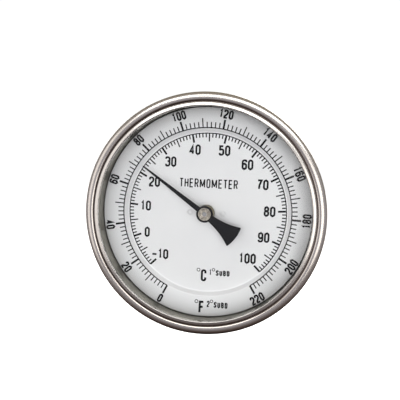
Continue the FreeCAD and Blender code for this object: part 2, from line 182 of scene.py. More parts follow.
def lathe_mesh(outline, segments=256, centre=(0.0, 0.0)):
    """Turn a closed outline of (radius, y) points round an axis parallel to Y."""
    vertices, faces = [], []
    rows = []
    for radius, y in outline:
        if radius < 1e-6:
            rows.append([len(vertices)] * segments)
            vertices.append((centre[0], y, centre[1]))
            continue
        rows.append(list(range(len(vertices), len(vertices) + segments)))
        for k in range(segments):
            angle = TAU * k / segments
            vertices.append((centre[0] + radius * math.cos(angle), y,
                             centre[1] + radius * math.sin(angle)))
    for k, row in enumerate(rows):
        other = rows[(k + 1) % len(rows)]
        for j in range(segments):
            corners = [row[j], other[j], other[(j + 1) % segments], row[(j + 1) % segments]]
            unique = list(dict.fromkeys(corners))
            if len(unique) > 2:
                faces.append(unique)
    return vertices, faces


def lathe(name, outline, body, material, replaced=(), segments=256, centre=(0.0, 0.0)):
    vertices, faces = lathe_mesh(outline, segments, centre)
    fix_normals(add_piece(name, vertices, faces, body, material, replaced))


def fix_normals(piece):
    """Make every face look outwards."""
    mesh = bmesh.new()
    mesh.from_mesh(piece.data)
    bmesh.ops.recalc_face_normals(mesh, faces=mesh.faces)
    mesh.to_mesh(piece.data)
    mesh.free()


# --- materials ----------------------------------------------------------------------------
class Nodes:
    """Short names for the few node kinds that the materials and the room use."""

    def __init__(self, owner, output="ShaderNodeOutputMaterial"):
        owner.use_nodes = True
        self.tree = owner.node_tree
        self.tree.nodes.clear()
        self.output = self.add(output)

    def add(self, kind, inputs=None, **settings):
        node = self.tree.nodes.new(kind)
        for key, value in settings.items():
            setattr(node, key, value)
        for key, value in (inputs or {}).items():
            self.put(node.inputs[key], value)
        return node

    def put(self, socket, value):
        if isinstance(value, bpy.types.NodeSocket):
            self.tree.links.new(value, socket)
        else:
            socket.default_value = value

    def math(self, operation, *values):
        node = self.add("ShaderNodeMath", operation=operation)
        for k, value in enumerate(values):
            self.put(node.inputs[k], value)
        return node.outputs[0]

    def place(self):
        return self.add("ShaderNodeTexCoord").outputs["Object"]

    def radius(self):
        """Distance from the instrument's axis."""
        flat = self.add("ShaderNodeVectorMath", {0: self.place(), 1: (1.0, 0.0, 1.0)},
                        operation="MULTIPLY")
        return self.add("ShaderNodeVectorMath", {0: flat.outputs[0]}, operation="LENGTH").outputs["Value"]

    def height(self):
        """Place along the instrument's axis."""
        return self.add("ShaderNodeSeparateXYZ", {0: self.place()}).outputs[1]

    def multiply(self, one, other):
        node = self.add("ShaderNodeMix", data_type="RGBA", blend_type="MULTIPLY")
        self.put(node.inputs[0], 1.0)
        self.put(node.inputs[6], one)
        self.put(node.inputs[7], other)
        return node.outputs[2]

    def polar(self, around=6.0, along=60.0, out=60.0):
        """Coordinates that follow a turned surface: angle, place along the axis, radius."""
        split = self.add("ShaderNodeSeparateXYZ", {0: self.place()})
        x, y, z = (split.outputs[k] for k in range(3))
        radius = self.math("SQRT", self.math("ADD", self.math("MULTIPLY", x, x),
                                             self.math("MULTIPLY", z, z)))
        angle = self.math("ARCTAN2", z, x)
        join = self.add("ShaderNodeCombineXYZ", {
            0: self.math("MULTIPLY", angle, around),
            1: self.math("MULTIPLY", y, along / MM),
            2: self.math("MULTIPLY", radius, out / MM)})
        return join.outputs[0]

    def noise(self, vector, scale, detail=3.0, roughness=0.5):
        node = self.add("ShaderNodeTexNoise", {"Vector": vector, "Scale": scale, "Detail": detail,
                                               "Roughness": roughness})
        return node.outputs["Fac"]

    def plain_noise(self, scale, detail=3.0, roughness=0.5):
        return self.noise(self.place(), scale, detail, roughness)

    def between(self, value, low, high):
        """Spread the middle half of a noise over another range."""
        node = self.add("ShaderNodeMapRange", {"Value": value, "From Min": 0.25, "From Max": 0.75,
                                               "To Min": low, "To Max": high})
        return node.outputs[0]

    def ramp(self, value, *stops):
        node = self.add("ShaderNodeValToRGB", {"Fac": value})
        while len(node.color_ramp.elements) < len(stops):
            node.color_ramp.elements.new(0.5)
        for element, (place, colour) in zip(node.color_ramp.elements, stops):
            element.position = place
            element.color = (*colour, 1.0)
        return node.outputs["Color"]

    def bump(self, height, strength, distance):
        node = self.add("ShaderNodeBump", {"Height": height, "Strength": strength,
                                           "Distance": distance * MM})
        return node.outputs[0]

    def finish(self, **inputs):
        shader = self.add("ShaderNodeBsdfPrincipled")
        for key, value in inputs.items():
            self.put(shader.inputs[key.replace("_", " ")], value)
        self.surface(shader)

    def surface(self, shader):
        self.tree.links.new(shader.outputs[0], self.output.inputs["Surface"])


def new_nodes(name):
    material = bpy.data.materials.new(name)
    return material, Nodes(material)


PAINTED_SHADE_SPAN = 50.0                            # radius where the ramp of painted shade ends
DIAL_SPAN = 40.0                             # radius where the dial's ramp of painted light ends
GLASS_SHINE = 0.012                          # share of the light that the coated glass mirrors


def turned_steel(name, dark, light, rough, lines=40.0, depth=0.004, painted_shade_stops=(), inner=None):
    """Stainless steel with fine lines round its axis and a few broader streaks.

    Stops by radius darken it with painted shade (the bezel's groove), and `inner` darkens the case's inner
    wall with painted shade.
    """
    material, n = new_nodes(name)
    fine = n.noise(n.polar(around=2.0, along=lines, out=lines), 1.0, 4.0, 0.65)
    broad = n.noise(n.polar(around=1.2, along=lines / 12, out=lines / 12), 1.0, 2.0)
    smudge = n.plain_noise(120.0, 3.0)
    mixed = n.math("ADD", n.math("MULTIPLY", fine, 0.5), n.math("MULTIPLY", broad, 0.5))
    colour = n.ramp(mixed, (0.3, dark), (0.7, light))
    # painted shade: stops that darken the steel by radius, used for the bezel's groove
    if painted_shade_stops:
        stops = [(radius / PAINTED_SHADE_SPAN, tone) for radius, tone in painted_shade_stops]
        colour = n.multiply(colour, n.ramp(n.math("DIVIDE", n.radius(), PAINTED_SHADE_SPAN * MM), *stops))
    # painted shade: the case's inner wall, inside the cup, is darkened
    if inner:
        inside = n.math("MULTIPLY", n.math("LESS_THAN", n.radius(), INSIDE_R * MM),
                        n.math("LESS_THAN", n.height(), INSIDE_Y * MM))
        colour = n.multiply(colour, n.ramp(inside, (0.0, (1.0, 1.0, 1.0)), (1.0, inner)))
    roughness = n.between(n.math("ADD", n.math("MULTIPLY", fine, 0.6), n.math("MULTIPLY", smudge, 0.4)),
                          rough - 0.06, rough + 0.06)
    n.finish(Base_Color=colour, Metallic=1.0, Roughness=roughness, Normal=n.bump(fine, 0.35, depth))
    return material


def milled_steel(name, dark, light, rough):
    """Machined steel with short straight tool marks."""
    material, n = new_nodes(name)
    stretched = n.add("ShaderNodeMapping", {"Vector": n.place(), "Scale": (1500.0, 9000.0, 1500.0)})
    marks = n.noise(stretched.outputs[0], 1.0, 3.0)
    wear = n.plain_noise(260.0, 4.0)
    n.finish(Base_Color=n.ramp(wear, (0.3, dark), (0.7, light)), Metallic=1.0,
             Roughness=n.between(marks, rough - 0.08, rough + 0.1), Normal=n.bump(marks, 0.3, 0.01))
    return material


def stained_metal(name, dark, light, rough, speckle=900.0):
    """Brass, spring steel and the like: stained, with faint turning rings."""
    material, n = new_nodes(name)
    stain = n.plain_noise(speckle, 4.0, 0.6)
    rings = n.noise(n.polar(around=1.5, along=25.0, out=25.0), 1.0, 3.0)
    n.finish(Base_Color=n.ramp(stain, (0.35, dark), (0.65, light)), Metallic=1.0,
             Roughness=n.between(stain, rough - 0.1, rough + 0.12), Normal=n.bump(rings, 0.3, 0.008))
    return material


def satin_dial():
    """Silver-white lacquer on the pressed dial: a faint grain, an uneven sheen, a painted highlight
    along and on the step, and painted shade that darkens it towards the rim."""
    material, n = new_nodes("dial_white")
    grain = n.plain_noise(5200.0, 2.0)
    cloud = n.plain_noise(55.0, 3.0)
    colour = n.ramp(cloud, (0.3, (0.742, 0.742, 0.767)), (0.7, (0.782, 0.782, 0.802)))
    # painted light by radius: painted highlights at the step's edges and on its wall, painted shade darker
    # towards the rim
    painted_light_tones = ((28.52, 1.0), (28.68, 1.10), (28.86, 1.10), (28.98, 1.12), (30.0, 1.12), (30.2, 1.10),
             (30.4, 1.0), (33.2, 0.90), (36.0, 0.78), (37.6, 0.66))
    rim = n.ramp(n.math("DIVIDE", n.radius(), DIAL_SPAN * MM),
                 *((radius / DIAL_SPAN, (tone, tone, tone)) for radius, tone in painted_light_tones))
    n.finish(Base_Color=n.multiply(colour, rim), Metallic=0.08, Roughness=n.between(grain, 0.50, 0.60),
             Normal=n.bump(grain, 0.12, 0.006))
    return material


def black_paint(name, rough, grain_scale=2600.0):
    material, n = new_nodes(name)
    grain = n.plain_noise(grain_scale, 3.0)
    n.finish(Base_Color=n.ramp(grain, (0.3, (0.003, 0.003, 0.004)), (0.7, (0.009, 0.009, 0.011))),
             Specular_IOR_Level=0.12, Roughness=n.between(grain, rough - 0.07, rough + 0.07),
             Normal=n.bump(grain, 0.2, 0.008))
    return material


def soft_material(name, dark, light, rough, scale):
    """Rubber, fibre and plastic: mottled colour and a fine grain."""
    material, n = new_nodes(name)
    mottle = n.plain_noise(scale, 4.0, 0.6)
    n.finish(Base_Color=n.ramp(mottle, (0.3, dark), (0.7, light)),
             Roughness=n.between(mottle, rough - 0.08, rough + 0.08), Normal=n.bump(mottle, 0.3, 0.02))
    return material


def clear_glass():
    """Float glass, thin enough to look clear, with weak reflections."""
    material, n = new_nodes("window_glass")
    material.blend_method = "BLEND"
    clear = n.add("ShaderNodeBsdfTransparent", {"Color": (0.985, 0.992, 0.988, 1.0)})
    smear = n.plain_noise(90.0, 3.0)
    gloss = n.add("ShaderNodeBsdfGlossy", {"Color": (1, 1, 1, 1),
                                           "Roughness": n.between(smear, 0.015, 0.05)})
    n.surface(n.add("ShaderNodeMixShader", {0: GLASS_SHINE, 1: clear.outputs[0], 2: gloss.outputs[0]}))
    return material


# painted shade: a darker band in the groove between the bezel's bead and its roll
GROOVE_PAINTED_SHADE = ((38.05, (1.0, 1.0, 1.0)), (38.15, (0.32, 0.26, 0.24)),
                (38.35, (0.36, 0.29, 0.27)), (38.60, (1.0, 0.98, 0.97)))
MATERIALS = {
    "bezel_steel": turned_steel("bezel_steel", (0.50, 0.475, 0.44), (0.66, 0.64, 0.61), 0.20, 22.0,
                                0.003, painted_shade_stops=GROOVE_PAINTED_SHADE),
    # the inner tone is painted shade on the case's inner wall
    "case_steel": turned_steel("case_steel", (0.50, 0.49, 0.46), (0.64, 0.63, 0.60), 0.33, 26.0, 0.006,
                               inner=(0.62, 0.605, 0.56)),
    "stem_steel": turned_steel("stem_steel", (0.52, 0.51, 0.49), (0.66, 0.65, 0.63), 0.26, 18.0, 0.003),
    "connection_steel": milled_steel("connection_steel", (0.45, 0.44, 0.42), (0.62, 0.61, 0.59), 0.32),
    "spring_steel": stained_metal("spring_steel", (0.20, 0.21, 0.24), (0.34, 0.35, 0.38), 0.35),
    "bimetal": stained_metal("bimetal", (0.42, 0.38, 0.32), (0.58, 0.54, 0.47), 0.38),
    "brass": stained_metal("brass", (0.33, 0.28, 0.17), (0.50, 0.43, 0.28), 0.34),
    "hub_metal": stained_metal("hub_metal", (0.20, 0.175, 0.15), (0.74, 0.68, 0.60), 0.48, 1500.0),
    "black_rubber": soft_material("black_rubber", (0.008, 0.008, 0.008), (0.022, 0.022, 0.021), 0.7,
                                  1800.0),
    "fibre": soft_material("fibre", (0.24, 0.06, 0.035), (0.36, 0.11, 0.07), 0.75, 2200.0),
    "white_plastic": soft_material("white_plastic", (0.74, 0.73, 0.69), (0.82, 0.81, 0.77), 0.5, 800.0),
    "pointer_black": black_paint("pointer_black", 0.36),
    "dial_white": satin_dial(),
    "window_glass": clear_glass(),
}
INK = black_paint("scale_ink", 0.6, 6000.0)


def carry_over():
    """Give every CAD node the material of its slot."""
    for entry in frame["record"]["subparts"]:
        node = frame["nodes"][entry["node"]]
        node.data.materials.clear()
        node.data.materials.append(MATERIALS[entry["material_slot"]])


# --- head ---------------------------------------------------------------------------------
def make_bezel():
    """Rolled ring: bead on the glass, groove, outer roll, and the crimp behind the case's flange."""
    outer, front, back = bezel_high[0], bezel_low[1], bezel_high[1]
    glass_front = glass_low[1]
    crimp_r, corner_r, crimp_edge = case_high[0] - 1.8, 0.8, 0.3
    groove_y = front + GROOVE_DEEP
    lip = rounded([(LIP_R, groove_y, 0), (LIP_R, front + 0.14, 0.28), (36.85, front + 0.03, 0.3),
                   (37.75, front + 0.16, 1.2), (38.1, front + 0.42, 0.2), (LIP_OUT_R, groove_y, 0)],
                  0.2, steps=7)
    crown = [(CREST_R + (outer - CREST_R if x > 0 else CROWN_IN) * x, front + CROWN_DEEP * (1 + y))
             for x, y in arc((0, 0), 1.0, -140, 0, 32)]
    outline = lip + [(LIP_OUT_R + 0.06, groove_y)] + crown
    outline += arc((outer - corner_r, back - corner_r), corner_r, 0, 90, 10)
    outline += arc((crimp_r + crimp_edge, back - crimp_edge), crimp_edge, 90, 180, 5)
    outline += [(crimp_r, back - BEZEL_WALL), (outer - BEZEL_WALL, back - BEZEL_WALL),
                (outer - BEZEL_WALL, front + 1.6), (39.9, front + 0.75), (38.9, front + 1.5),
                (38.9, glass_front), (37.1, glass_front)]
    lathe("bezel_skin", outline, "case", MATERIALS["bezel_steel"], ["bezel_ring"], 384)


def make_case():
    """Drawn cup with a stepped back; the small radii are those of the press tool."""
    outer, neck = CASE_R + SHEET, NECK_R
    flange_r, flange_front = glass_high[0] + 0.5, case_low[1]
    flange_back = flange_front + SHEET
    back = case_high[1]
    step_back = back - 1.4
    outside = [(neck, back, 0), (25.0, back, 0.9), (26.4, step_back, 0.9), (outer, step_back, 3.5),
               (outer, flange_back, 0.3), (flange_r, flange_back, 0.2), (flange_r, flange_front, 0.2)]
    inside = [(CASE_R, flange_front, 0.3), (CASE_R, step_back - SHEET, 2.9),
              (26.1, step_back - SHEET, 0.6), (24.7, back - SHEET, 0.6), (neck, back - SHEET, 0)]
    lathe("case_shell", rounded(outside + inside, 0.2, closed=True, steps=8), "case",
          MATERIALS["case_steel"], ["rear_case"], 320)


def make_glass():
    radius = glass_high[0]
    front, back = glass_low[1], glass_high[1]
    outline = rounded([(0, front, 0), (radius, front), (radius, back), (0, back, 0)], 0.25, closed=True)
    lathe("glass_pane", outline, "case", MATERIALS["window_glass"],
          ["window_glass"], 256)


# --- dial ---------------------------------------------------------------------------------
def dial_front(radius):
    """Y of the dial's printed side at a radius, in millimetres."""
    if radius <= STEP_IN_R:
        return DIAL_Y
    if radius <= STEP_OUT_R:
        return DIAL_Y + (STEP_Y - DIAL_Y) * (radius - STEP_IN_R) / (STEP_OUT_R - STEP_IN_R)
    return STEP_Y + (DIAL_RIM_Y - STEP_Y) * (radius - STEP_OUT_R) / (DIAL_R - STEP_OUT_R)


def make_dial():
    """Pressed dial in two levels, with soft edges at the step, the rim and the hole."""
    hole = 3.0
    front = [(hole, DIAL_Y, 0.15), (STEP_IN_R, DIAL_Y, 0.5), (STEP_OUT_R, STEP_Y, 0.5),
             (DIAL_R, DIAL_RIM_Y, 0.15)]
    back = [(DIAL_R, DIAL_RIM_Y + SHEET, 0.15), (STEP_OUT_R + 0.25, STEP_Y + SHEET, 0.5),
            (STEP_IN_R + 0.25, DIAL_Y + SHEET, 0.5), (hole, DIAL_Y + SHEET, 0.15)]
    lathe("dial_face", rounded(front + back, 0.15, closed=True, steps=6), "dial",
          MATERIALS["dial_white"], ["dial_plate"], 320)


def make_rivets():
    """Low domes of the two rivets, lacquered with the dial."""
    low, high = node_box("dial_rivets")
    radius = (high[2] - low[2]) / 2
    middle_z = (low[2] + high[2]) / 2
    dome = [(0, low[1]), (radius * 0.5, low[1] + 0.03), (radius * 0.85, low[1] + 0.12),
            (radius, DIAL_Y), (radius * 0.6, DIAL_Y), (radius * 0.6, high[1]), (0, high[1])]
    for side, x, replaced in (("left", low[0] + radius, ["dial_rivets"]),
                              ("right", high[0] - radius, [])):
        lathe("rivet_" + side, dome, "dial", MATERIALS["dial_white"], replaced, 48,
              (x, middle_z))


DEGREES_PER_C = 270 / 110
ARC_C_R, ARC_F_R = 28.45, 30.25
ARC_WIDE = 0.38
INK_THICK, INK_SUNK = 0.025, 0.005           # above and below the dial's surface
# Letter sizes: height, width, pitch, stroke.
CELSIUS_NUMBER = (3.7, 1.95, 2.17, 0.69)
FAHRENHEIT_NUMBER = (3.1, 1.62, 1.76, 0.64)
TITLE = (3.3, 1.48, 1.83, 0.47)
UNIT_LETTER = (4.5, 2.05, 2.3, 0.78)
SUBDIVISION_DIGIT = (2.2, 1.0, 1.1, 0.43)
SUBDIVISION_WORD = (2.05, 1.05, 1.33, 0.47)


def angle_of(celsius):
    """Angle of a temperature on the dial, counter-clockwise from 3 o'clock."""
    return math.radians(225 - (celsius + 10) * DEGREES_PER_C)


def from_fahrenheit(degree):
    return angle_of((degree - 32) / 1.8)


class Print:
    """Ink on the dial: thin closed slabs that follow its surface."""

    def __init__(self):
        self.vertices, self.faces = [], []

    def ribbon(self, centre_line, width, closed=False):
        """A line of constant width through points of the dial's plane."""
        points = [Vector(p) for p in centre_line]
        count = len(points)
        base = len(self.vertices)
        for k, point in enumerate(points):
            before = points[k - 1] if (k or closed) else None
            after = points[(k + 1) % count] if (k < count - 1 or closed) else None
            ahead = (after - point).normalized() if after is not None else None
            behind = (point - before).normalized() if before is not None else None
            way = (ahead or behind) if ahead is None or behind is None else (ahead + behind).normalized()
            side = Vector((-way.y, way.x))
            stretch = 1.0 if ahead is None or behind is None else 1.0 / max(0.5, way.dot(ahead))
            for sign in (1, -1):
                spot = point + side * (sign * width / 2 * stretch)
                y = dial_front(spot.length)
                self.vertices.append((spot.x, y - INK_THICK, spot.y))
                self.vertices.append((spot.x, y + INK_SUNK, spot.y))
        spans = count if closed else count - 1
        for k in range(spans):
            a = base + 4 * k
            b = base + 4 * ((k + 1) % count)
            self.faces += [(a, a + 2, b + 2, b), (a + 1, b + 1, b + 3, a + 3),
                           (a, b, b + 1, a + 1), (a + 2, a + 3, b + 3, b + 2)]
        if not closed:
            last = base + 4 * (count - 1)
            self.faces += [(base, base + 1, base + 3, base + 2), (last, last + 2, last + 3, last + 1)]

    def place(self, name):
        fix_normals(add_piece(name, self.vertices, self.faces, "dial", INK,
                              smooth=False))


def polar(radius, angle):
    return (radius * math.cos(angle), radius * math.sin(angle))


def scale_arc(ink, radius, start, end, width):
    steps = 240
    ink.ribbon([polar(radius, start + (end - start) * k / steps) for k in range(steps + 1)], width)


def tick(ink, angle, inner, outer, width):
    middle = (inner + outer) / 2
    ink.ribbon([polar(inner, angle), polar(middle, angle), polar(outer, angle)], width)


def print_scales():
    """Both arcs and all their divisions: 1 degree Celsius and 2 degrees Fahrenheit."""
    celsius = Print()
    scale_arc(celsius, ARC_C_R, angle_of(-10), angle_of(100), ARC_WIDE)
    for degree in range(-10, 101):
        length = 2.95 if degree % 5 == 0 else 1.50
        width = 0.70 if degree % 10 == 0 else 0.44
        tick(celsius, angle_of(degree), ARC_C_R - length, ARC_C_R, width)
    celsius.place("print_celsius_scale")
    fahrenheit = Print()
    scale_arc(fahrenheit, ARC_F_R, from_fahrenheit(0), from_fahrenheit(220),
              ARC_WIDE)
    for degree in range(0, 221, 2):
        length = 3.2 if degree % 10 == 0 else 1.95
        width = 0.70 if degree % 20 == 0 else 0.40
        tick(fahrenheit, from_fahrenheit(degree), ARC_F_R, ARC_F_R + length, width)
    fahrenheit.place("print_fahrenheit_scale")


# Letter strokes in a box one wide and one high. A corner is rounded unless its third value is 0.
CORNERS = [(0, 0), (1, 0), (1, 1), (0, 1)]
GLYPHS = {
    "0": [("loop", CORNERS)],
    "1": [("line", [(0.30, 0.80), (0.62, 1.0, 0), (0.62, 0)])],
    "2": [("line", [(0, 0.74), (0, 1), (1, 1), (1, 0.60), (0, 0.16), (0, 0, 0), (1, 0)])],
    "3": [("line", [(0, 0.80), (0, 1), (1, 1), (1, 0.54), (0.40, 0.54)]),
          ("line", [(0.40, 0.54), (1, 0.54), (1, 0), (0, 0), (0, 0.22)])],
    "4": [("line", [(0.72, 0), (0.72, 1, 0), (0, 0.26, 0), (1.05, 0.26)])],
    "5": [("line", [(0.95, 1), (0.08, 1, 0), (0.04, 0.50)]),
          ("line", [(0.04, 0.50), (0.14, 0.63), (1, 0.63), (1, 0), (0, 0), (0, 0.22)])],
    "6": [("line", [(1, 0.78), (1, 1), (0, 1), (0, 0.3)]),
          ("loop", [(0, 0), (1, 0), (1, 0.60), (0, 0.60)])],
    "7": [("line", [(0, 1), (1, 1, 0), (0.46, 0.45), (0.36, 0)])],
    "8": [("loop", [(0.05, 0.53), (0.95, 0.53), (0.95, 1), (0.05, 1)]),
          ("loop", [(0, 0), (1, 0), (1, 0.53), (0, 0.53)])],
    "9": [("line", [(0, 0.22), (0, 0), (1, 0), (1, 0.7)]),
          ("loop", [(0, 0.40), (1, 0.40), (1, 1), (0, 1)])],
    "-": [("line", [(-0.15, 0.42), (1.2, 0.42)])],
    "T": [("line", [(0.5, 0), (0.5, 1)]), ("line", [(-0.08, 1), (1.08, 1)])],
    "H": [("line", [(0, 0), (0, 1)]), ("line", [(1, 0), (1, 1)]), ("line", [(0, 0.52), (1, 0.52)])],
    "E": [("line", [(1, 1), (0, 1, 0), (0, 0, 0), (1, 0)]), ("line", [(0, 0.52), (0.88, 0.52)])],
    "R": [("line", [(0, 0), (0, 1, 0), (1, 1), (1, 0.50), (0, 0.50)]),
          ("line", [(0.55, 0.50), (1.02, 0)])],
    "M": [("line", [(0, 0), (0, 1)]), ("line", [(0, 1), (0.5, 0.12)]),
          ("line", [(0.5, 0.12), (1, 1)]), ("line", [(1, 1), (1, 0)])],
    "O": [("loop", CORNERS)],
    "C": [("line", [(1, 0.70), (1, 1), (0, 1), (0, 0), (1, 0), (1, 0.30)])],
    "F": [("line", [(1, 1), (0, 1, 0), (0, 0)]), ("line", [(0, 0.53), (0.88, 0.53)])],
    "S": [("line", [(1, 0.76), (1, 1), (0, 1), (0, 0.60), (1, 0.42), (1, 0), (0, 0), (0, 0.24)])],
    "U": [("line", [(0, 1), (0, 0), (1, 0), (1, 1)])],
    "B": [("line", [(0, 0), (0, 1, 0), (0.94, 1), (0.94, 0.54), (0, 0.54)]),
          ("line", [(0, 0.54), (1, 0.54), (1, 0), (0, 0, 0)])],
    "D": [("line", [(0, 0), (0, 1, 0), (1, 1), (1, 0), (0, 0, 0)])],
}
WIDER = {"M": 1.35, "-": 0.95}


def write(ink, text, centre, size, turn=0.0):
    """Print a word centred on a point and turned about it."""
    height, width, pitch, stroke = size
    advances = [pitch * WIDER.get(letter, 1.0) for letter in text]
    left = -sum(advances) / 2
    spin = Matrix.Rotation(turn, 2)
    for letter, advance in zip(text, advances):
        wide = width * WIDER.get(letter, 1.0) - stroke
        tall = height - stroke
        origin = Vector((left + (advance - wide) / 2, -tall / 2))
        for kind, points in GLYPHS[letter]:
            scaled = [(x * wide, y * tall, *rest) for x, y, *rest in points]
            line = rounded(scaled, wide / 2, closed=kind == "loop", steps=7)
            placed = [Vector(centre) + spin @ (origin + Vector(p)) for p in line]
            ink.ribbon(placed, stroke, closed=kind == "loop")
        left += advance


def degree_sign(ink, centre, radius, stroke):
    ink.ribbon(arc(centre, radius, 0, 345, 23), stroke, closed=True)


def print_numbers():
    """Celsius numbers stand upright at their own places; Fahrenheit numbers follow the rim."""
    celsius = Print()
    places = {-10: (-16.6, -16.0), 0: (-21.7, -8.15), 10: (-22.6, 1.55), 20: (-19.5, 10.4),
              30: (-13.7, 17.9), 40: (-5.0, 22.5), 50: (5.6, 22.5), 60: (13.9, 17.85),
              70: (19.6, 11.05), 80: (22.5, 1.7), 90: (20.9, -7.65), 100: (15.4, -15.6)}
    for degree, centre in places.items():
        write(celsius, str(degree), centre, CELSIUS_NUMBER)
    celsius.place("print_celsius_numbers")
    fahrenheit = Print()
    for degree in range(0, 221, 20):
        angle = from_fahrenheit(degree)
        upright = 60 <= degree <= 160
        turn = angle - math.pi / 2 if upright else angle + math.pi / 2
        write(fahrenheit, str(degree), polar(35.4, angle), FAHRENHEIT_NUMBER, turn)
    fahrenheit.place("print_fahrenheit_numbers")


def print_words():
    """The title, and the two unit lines that give the value of one division."""
    words = Print()
    write(words, "THERMOMETER", (0.3, 10.6), TITLE)
    for letter, big_z, digit in (("C", -22.9, "1"), ("F", -34.1, "2")):
        write(words, letter, (-0.1, big_z), UNIT_LETTER)
        degree_sign(words, (-2.05, big_z + 1.95), 0.55, 0.24)
        write(words, digit, (2.3, big_z + 1.3), SUBDIVISION_DIGIT)
        degree_sign(words, (3.45, big_z + 2.3), 0.48, 0.24)
        write(words, "SUBD", (6.85, big_z + 1.2), SUBDIVISION_WORD)
    words.place("print_words")


# --- pointer ------------------------------------------------------------------------------
def prism(name, outline, front, back, body, material, replaced=(), edge=0.06, turn=0.0):
    """A flat part with a small bevel along its edges, drawn as (x, z) points."""
    spin = Matrix.Rotation(turn, 2)
    points = [spin @ Vector(p) for p in outline]
    count = len(points)
    rows = []
    for y, inset in ((front, edge), (front + edge, 0.0), (back - edge, 0.0), (back, edge)):
        row = []
        for k, point in enumerate(points):
            way = (points[(k + 1) % count] - points[k - 1]).normalized()
            spot = point + Vector((-way.y, way.x)) * inset
            row.append((spot.x, y, spot.y))
        rows.append(row)
    vertices = [vertex for row in rows for vertex in row]
    faces = [tuple(range(count)), tuple(reversed(range(3 * count, 4 * count)))]
    for level in range(3):
        for k in range(count):
            a, b = level * count + k, level * count + (k + 1) % count
            faces.append((a, a + count, b + count, b))
    fix_normals(add_piece(name, vertices, faces, body, material, replaced))


def make_pointer():
    """Blade, round middle and flared tail, drawn pointing at 12 o'clock."""
    tip_r, tip_half, hub_r, root_half = 27.9, 0.25, ring_high[0], 0.92
    waist_half, waist_z, tail_r, tail_half = 1.3, -2.6, 13.4, 17.5
    corner = polar(tail_r, math.radians(-90 + tail_half))
    bow = ((waist_half + corner[0]) * 0.42, (waist_z + corner[1]) * 0.53)
    join = math.degrees(math.asin(root_half / hub_r))
    right = [(tip_half, tip_r - 0.3)] + arc((0, 0), hub_r, 90 - join, -90 + join, 16)
    steps = 12
    waist = Vector((waist_half, waist_z))
    middle, end = Vector(bow), Vector(corner)
    control = middle * 2 - (waist + end) / 2
    for k in range(steps + 1):
        t = k / steps
        point = waist * (1 - t) ** 2 + control * (2 * t * (1 - t)) + end * t ** 2
        right.append((point.x, point.y))
    right += arc((0, 0), tail_r + 0.25, -90 + tail_half - 1.2, -90, 6)
    left = [(-x, z) for x, z in reversed(right[:-1])]
    outline = [(0, tip_r)] + right + left
    outline.reverse()
    prism("pointer_blade", outline, pointer_low[1], pointer_high[1], "pointer",
          MATERIALS["pointer_black"], ["pointer"], 0.05,
          angle_of(READING_C) - math.pi / 2)


def make_hub():
    """Collar and rivet head: a rounded black ring round a slightly dished metal disc."""
    outer, inner = ring_high[0], 2.27
    front, back = ring_low[1], ring_high[1]
    collar = rounded([(inner, front + 0.05), (inner + 0.1, front), (outer, front, 0.18), (outer, back),
                      (inner, back)], 0.05, closed=True)
    lathe("hub_collar", collar, "pointer", MATERIALS["pointer_black"],
          ["pointer_ring"], 128)
    hub_front, hub_back = hub_low[1], hub_high[1]
    waist = pointer_high[1]
    disc = rounded([(0, hub_front + 0.06, 0), (1.5, hub_front + 0.05), (1.9, hub_front),
                    (inner, hub_front, 0.1), (inner, waist, 0), (hub_high[0], waist, 0.1),
                    (hub_high[0], hub_back, 0.15), (0, hub_back, 0)], 0.1, closed=True)
    lathe("hub_disc", disc, "pointer", MATERIALS["hub_metal"], ["pointer_hub"], 128)


# --- connection and stem ------------------------------------------------------------------
def make_connection():
    """Hexagon, collar, neck and spigot; the thread is a piece of its own."""
    front = connection_low[1]
    thread_in_r, thread_in_y = 9.2, 1.0
    outline = rounded([(BORE_R, front, 0), (SPIGOT_R, front), (SPIGOT_R, NECK_FRONT),
                       (NECK_R, NECK_FRONT), (NECK_R, COLLAR_FRONT), (COLLAR_R, COLLAR_FRONT, 0.3),
                       (COLLAR_R, HEX_FRONT), (FACE_IN_R, HEX_FRONT), (FACE_IN_R, -UNDERCUT),
                       (thread_in_r, -UNDERCUT), (thread_in_r, thread_in_y), (BORE_R, thread_in_y, 0)],
                      0.1, closed=True)
    lathe("connection_body", outline, "case", MATERIALS["connection_steel"],
          ["threaded_connection"], 192)
    make_hexagon(HEX_FLATS, HEX_FRONT, 0.0)
    make_thread()


def make_hexagon(flats, front, back):
    """Six milled faces with turned chamfers at both ends."""
    rings, steps = [], 96
    corner = flats / 2 / math.cos(math.radians(30))
    chamfer = 0.9
    levels = [(front, corner - chamfer * 1.6), (front + 0.15, corner - chamfer), (front + 0.6, corner),
              (back - 0.6, corner), (back - 0.15, corner - chamfer), (back, corner - chamfer * 1.6)]
    for y, limit in levels:
        ring = []
        for k in range(steps):
            angle = TAU * k / steps
            off = angle % math.radians(60) - math.radians(30)
            radius = min(flats / 2 / math.cos(off), limit)
            ring.append((radius * math.cos(angle), y, radius * math.sin(angle)))
        rings.append(ring)
    for y in (back, front):
        rings.append([(FACE_IN_R * math.cos(TAU * k / steps), y, FACE_IN_R * math.sin(TAU * k / steps))
                      for k in range(steps)])
    vertices = [vertex for ring in rings for vertex in ring]
    faces = []
    for level in range(len(rings)):
        for k in range(steps):
            a, b = level * steps + k, level * steps + (k + 1) % steps
            c, d = (a + steps) % len(vertices), (b + steps) % len(vertices)
            faces.append((a, c, d, b))
    fix_normals(add_piece("connection_hexagon", vertices, faces, "case",
                          MATERIALS["connection_steel"]))


